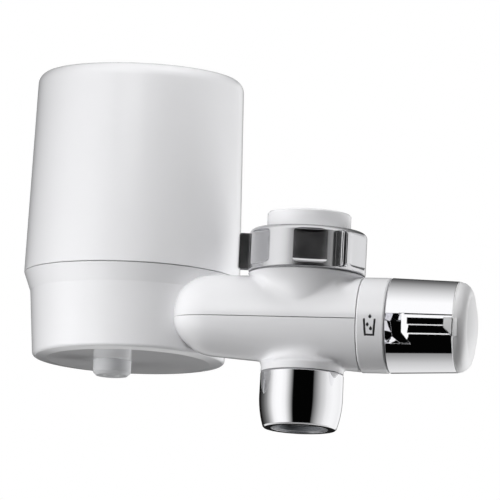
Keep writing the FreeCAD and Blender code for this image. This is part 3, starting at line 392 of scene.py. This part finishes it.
def cover_skin(name, depth_at, side, rim_points, neck_points, blend_mm):
    """A cover's closed shell. The hull has half-elliptic sections along X, and a turned neck stands on
    it, whose outline is a circle's arc through three points. Columns run over the rim, down the neck
    and over the hull to its edge. The points then move along the slope of a smooth minimum of the two
    distances, to neck and hull, which rounds the corner between them, less where it is blunt or near
    an edge; each time they are first evened out between their neighbours. The inner wall is the same
    grid moved inwards by the wall's thickness."""
    neck = np.array(neck_points)
    rim_z, foot_z = neck[0, 0], neck[2, 0]
    start_z = rim_points[-1][0]
    # the circle through the three points: its middle is as far from the first as from the others
    squares = (neck ** 2).sum(axis=1)
    middle_z, middle_r = np.linalg.solve(2 * (neck[1:] - neck[0]), squares[1:] - squares[0])
    bow = math.hypot(rim_z - middle_z, neck[0, 1] - middle_r)

    def neck_r(z):
        """The neck's radius at a height: the arc between rim and foot, and straight past them."""
        past = np.clip(side * z, side * foot_z, side * rim_z) * side
        return middle_r - np.sqrt(np.maximum(bow ** 2 - (past - middle_z) ** 2, 1e-6))

    def hull_point(x, turned):
        """A point of the hull: x, and an angle round the half ellipse of its section there."""
        up = side * depth_at(x) * np.sin(turned)
        return np.stack((x, cover_width(x) * np.cos(turned), valve_z + up), -1)

    def hull_distance(p):
        """About how far a point is outside the hull: the ellipse's excess over its slope."""
        wide, deep = cover_width(p[..., 0]), depth_at(p[..., 0])
        across, up = p[..., 1], p[..., 2] - valve_z
        far = np.sqrt((across / wide) ** 2 + (up / deep) ** 2)
        steep = np.sqrt((across / wide ** 2) ** 2 + (up / deep ** 2) ** 2) / far
        return (far - 1) / steep

    def neck_distance(p):
        """About how far a point is outside the neck: its excess radius, square to the outline."""
        above, level, below = (neck_r(p[..., 2] + shift) for shift in (neck_ease, 0, -neck_ease))
        slope = (above - below) / neck_ease / 2
        eased = (above + 2 * level + below) / 4
        return (np.hypot(p[..., 0], p[..., 1]) - eased) / np.sqrt(1 + slope ** 2)

    def slope_of(distance, p, step=0.02):
        """The slope of a distance along X, Y and Z, from a small step to either side."""
        parts = [distance(p + step * axis) - distance(p - step * axis) for axis in np.eye(3)]
        return np.stack(parts, -1) / (2 * step)

    # the hull's edge, once round: the right end, one side, the left end where it stops short of the
    # base, and the other side
    end_columns, side_columns = 72, 128
    turn_low = np.arcsin(seam_gap / 2 / depth_at(np.array(0.0)))
    half = np.linspace(turn_low, math.pi - turn_low, end_columns)
    left_half = half[::-1]
    room_z, room_r = np.array(base_room).T

    def clear_of_base(x):
        """Whether the left end's points are further from the base's axis than its wall's room."""
        p = hull_point(x, left_half)
        gap = np.hypot(p[..., 0] - base_axis[0], p[..., 1] - base_axis[1])
        return gap > np.interp(p[..., 2], room_z, room_r)

    left_x = halved(np.zeros_like(half), np.full_like(half, cover_left_x), clear_of_base)
    along = np.linspace(0, 1, side_columns + 2)[1:-1]
    back_x = left_x[-1] + (cover_right_x - left_x[-1]) * along
    front_x = cover_right_x + (left_x[0] - cover_right_x) * along
    edge_x = np.concatenate((np.full_like(half, cover_right_x), front_x, left_x, back_x))
    edge_turn = np.concatenate((
        half, np.full_like(along, half[-1]), left_half, np.full_like(along, half[0])))

    def part_way(share):
        """The hull's points a share of the way from under the neck's middle to the edge."""
        return hull_point(share * edge_x, math.pi / 2 + share * (edge_turn - math.pi / 2))

    def under_neck(share):
        """Whether those points are still within the neck's radius."""
        p = part_way(share)
        return np.hypot(p[..., 0], p[..., 1]) < neck_r(p[..., 2])

    crease = halved(np.zeros_like(edge_x), np.ones_like(edge_x), under_neck)
    corner = part_way(crease)
    bearing = np.arctan2(corner[:, 1], corner[:, 0])
    round_way = np.stack((np.cos(bearing), np.sin(bearing), np.zeros_like(bearing)), -1)

    def ring(radius, z):
        """Points round the neck's axis at a radius and a height, one for each column."""
        p = round_way * np.asarray(radius)[..., None]
        p[..., 2] = z
        return p

    # rows, closer together near the corner between neck and hull
    neck_count, neck_crowding = 32, 1.3
    hull_count, hull_crowding = 56, 1.5
    lead = [ring(np.full_like(bearing, r), z) for z, r in rim_points]
    neck_steps = np.linspace(0, 1, neck_count + 2)[1:-1, None]
    neck_z = start_z + (corner[:, 2] - start_z) * (1 - (1 - neck_steps) ** neck_crowding)
    neck_rows = np.stack([ring(neck_r(z), z) for z in neck_z])
    hull_steps = np.linspace(0, 1, hull_count)[:, None] ** hull_crowding
    hull_rows = part_way(crease + (1 - crease) * hull_steps)
    skin = np.concatenate((lead[-1:], neck_rows, hull_rows))

    # the blend reaches less far where neck and hull meet at a blunt angle or leave little room
    most_square, room_share, least_reach = 1.2, 0.7, 0.01
    hull_slope, neck_slope = slope_of(hull_distance, corner), slope_of(neck_distance, corner)
    lengths = np.linalg.norm(hull_slope, axis=-1) * np.linalg.norm(neck_slope, axis=-1)
    square = np.minimum(1 - (hull_slope * neck_slope).sum(-1) / lengths, most_square)
    room = np.minimum(hull_distance(lead[-1]), neck_distance(part_way(np.ones_like(crease))))
    reach = np.clip(np.minimum(blend_mm * square, room_share * room), least_reach, None)

    def blended(p):
        """The smooth minimum: the two distances mixed within the reach, less a rounded corner."""
        to_hull, to_neck = hull_distance(p), neck_distance(p)
        share = np.clip(0.5 + (to_neck - to_hull) / reach / 2, 0, 1)
        return to_neck + (to_hull - to_neck) * share - reach * share * (1 - share)

    rounds, least_slope = 40, 0.4
    for _ in range(rounds):
        even = (skin[:-2] + 2 * skin[1:-1] + skin[2:]) / 4
        even = (np.roll(even, 1, axis=1) + 2 * even + np.roll(even, -1, axis=1)) / 4
        slope = slope_of(blended, even)
        move = blended(even) / np.maximum((slope ** 2).sum(-1), least_slope)
        skin[1:-1] = even - move[..., None] * slope
    outer = np.concatenate((lead[:-1], skin))[:, ::side]
    across = np.roll(outer, -1, axis=1) - np.roll(outer, 1, axis=1)
    normal = np.cross(across, np.gradient(outer, axis=0))
    normal /= np.linalg.norm(normal, axis=-1, keepdims=True) + 1e-9
    every = 3
    inner = (outer - cover_wall * normal)[::-every]
    piece = surface(name, [np.concatenate((outer, inner))], rows_meet=True, columns_meet=True)
    piece.data.materials.append(white_abs)
    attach(piece, "main")
    return piece


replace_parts(cover_skin(
    "upper_cover", cover_width, 1, upper_rim, upper_neck, upper_blend), "body_cover_top")
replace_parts(cover_skin(
    "lower_cover", lower_depth, -1, lower_rim, lower_neck, lower_blend), "body_cover_bottom")

# Indicator ring
# A plain ring of white ABS clips on between the covers and the knob. A small black pad print, a
# tumbler with drops, shows what the turned knob gives. The ink is a dull black.
wear(white_abs, "indicator_ring")

# The tumbler is a line through four places and each drop has a place and a height, both as
# distances along the ring's axis and up round it from the axis's height.
print_r = 19.12
print_sink = 0.04
print_middle_x = 29.3
tumbler = ((-2.15, -0.5), (-1.7, -6.6), (1.7, -6.6), (2.15, -0.5))
stroke_wide = 0.8
stroke_points = 12
drops = ((0.2, 0.9, 1.5), (-0.75, -2.3, 1.4), (0.6, -3.9, 1.5))
drop_half_wide = 0.42
drop_half_high = 0.6
drop_point = 0.8
drop_points = 25
drop_rings = 4


def on_ring(across, along):
    """Flat places in millimetres, laid round the ring's front: along is an arc up from the axis."""
    turned = along / print_r
    up = valve_z + print_r * np.sin(turned)
    return np.stack((across + print_middle_x, -print_r * np.cos(turned), up), -1)


def stroke(start, end):
    """A straight bar of the print: its two long sides lie half a stroke to either side of its line."""
    line = np.linspace(start, end, stroke_points)
    way = (line[-1] - line[0]) / np.linalg.norm(line[-1] - line[0])
    line[0], line[-1] = line[0] - way * stroke_wide / 2, line[-1] + way * stroke_wide / 2
    side = np.array((-way[1], way[0])) * stroke_wide / 2
    flat = np.stack((line - side, line + side))
    return on_ring(flat[..., 0], flat[..., 1])


def drop(across, along, high):
    """A drop: a disc whose upper half draws in to a point, as rings from its middle to its outline."""
    turned = np.linspace(0, 2 * math.pi, drop_points)
    share = np.linspace(0, 1, drop_rings)[:, None]
    wide, up = np.cos(turned), np.sin(turned)
    narrow = np.where(up > 0, wide * (1 - up) ** drop_point, wide)
    sideways, upwards = narrow * high * drop_half_wide, up * high * drop_half_high
    return on_ring(across + share * sideways, along + share * upwards)


bars = [stroke(*ends) for ends in zip(tumbler[:-1], tumbler[1:])]
ring_print = surface("ring_print", bars + [drop(*each) for each in drops])
thickness = ring_print.modifiers.new("ink", "SOLIDIFY")
thickness.thickness = print_sink * MM
thickness.offset = 0
ink = plastic("black_pad_print", "#17181A", 0.3, 1.0, 0.002, 1.5)
ring_print.data.materials.append(ink)
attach(ring_print, "main")

# Selector knob
# The knob is moulded ABS with a bright chrome plate, which mirrors the studio sharply. A screw
# under its cap holds it on the spindle.
chrome = metal("bright_chrome_plate", "#F2F2F4", 0.035, 9.0, 0.002)
wear(chrome, "selector_knob")

# Knob cap
# The cap is ABS under a silver-white lacquer with fine metal flake, so it looks nearly as light as
# the white mouldings, with a broad soft shine.
flake_share = 0.08
silver_lacquer = plastic("silver_white_lacquer", "#F3F3F4", 0.34, 0.8, 0.002, round_mm=0.1)
silver_lacquer.node_tree.nodes["Principled BSDF"].inputs["Metallic"].default_value = flake_share
wear(silver_lacquer, "knob_cap")

# Aerator
# A chrome sleeve with a slight taper screws onto the spout. It holds a jet former of grey
# polypropylene, half glossy, in its mouth.
grey_pp = plastic("moulded_grey_polypropylene", "#8D9095", 0.4, 2.0, 0.004, 1.49)
wear(chrome, "aerator_housing")
wear(grey_pp, "aerator_insert")

# Floor
# A pale paper floor lies far below, as under a product that hangs. It glows evenly, so that it is
# as pale as the studio's paper from every side.
floor_z = -9.6
floor_half = 60
floor_glow = 0.95
floor_mesh = bpy.data.meshes.new("floor")
corners = [(-floor_half, -floor_half, floor_z), (floor_half, -floor_half, floor_z),
           (floor_half, floor_half, floor_z), (-floor_half, floor_half, floor_z)]
floor_mesh.from_pydata(corners, [], [(0, 1, 2, 3)])
floor = bpy.data.objects.new("floor", floor_mesh)
bpy.context.scene.collection.objects.link(floor)
floor_paper = plastic("floor_paper", "#F4F4F4", 0.9, 3.0, 0.02, 1.45)
paper_shader = floor_paper.node_tree.nodes["Principled BSDF"]
paper_shader.inputs["Emission Color"].default_value = linear("#FFFFFF")
paper_shader.inputs["Emission Strength"].default_value = floor_glow
floor_mesh.materials.append(floor_paper)
floor.visible_glossy = False
floor.visible_diffuse = False
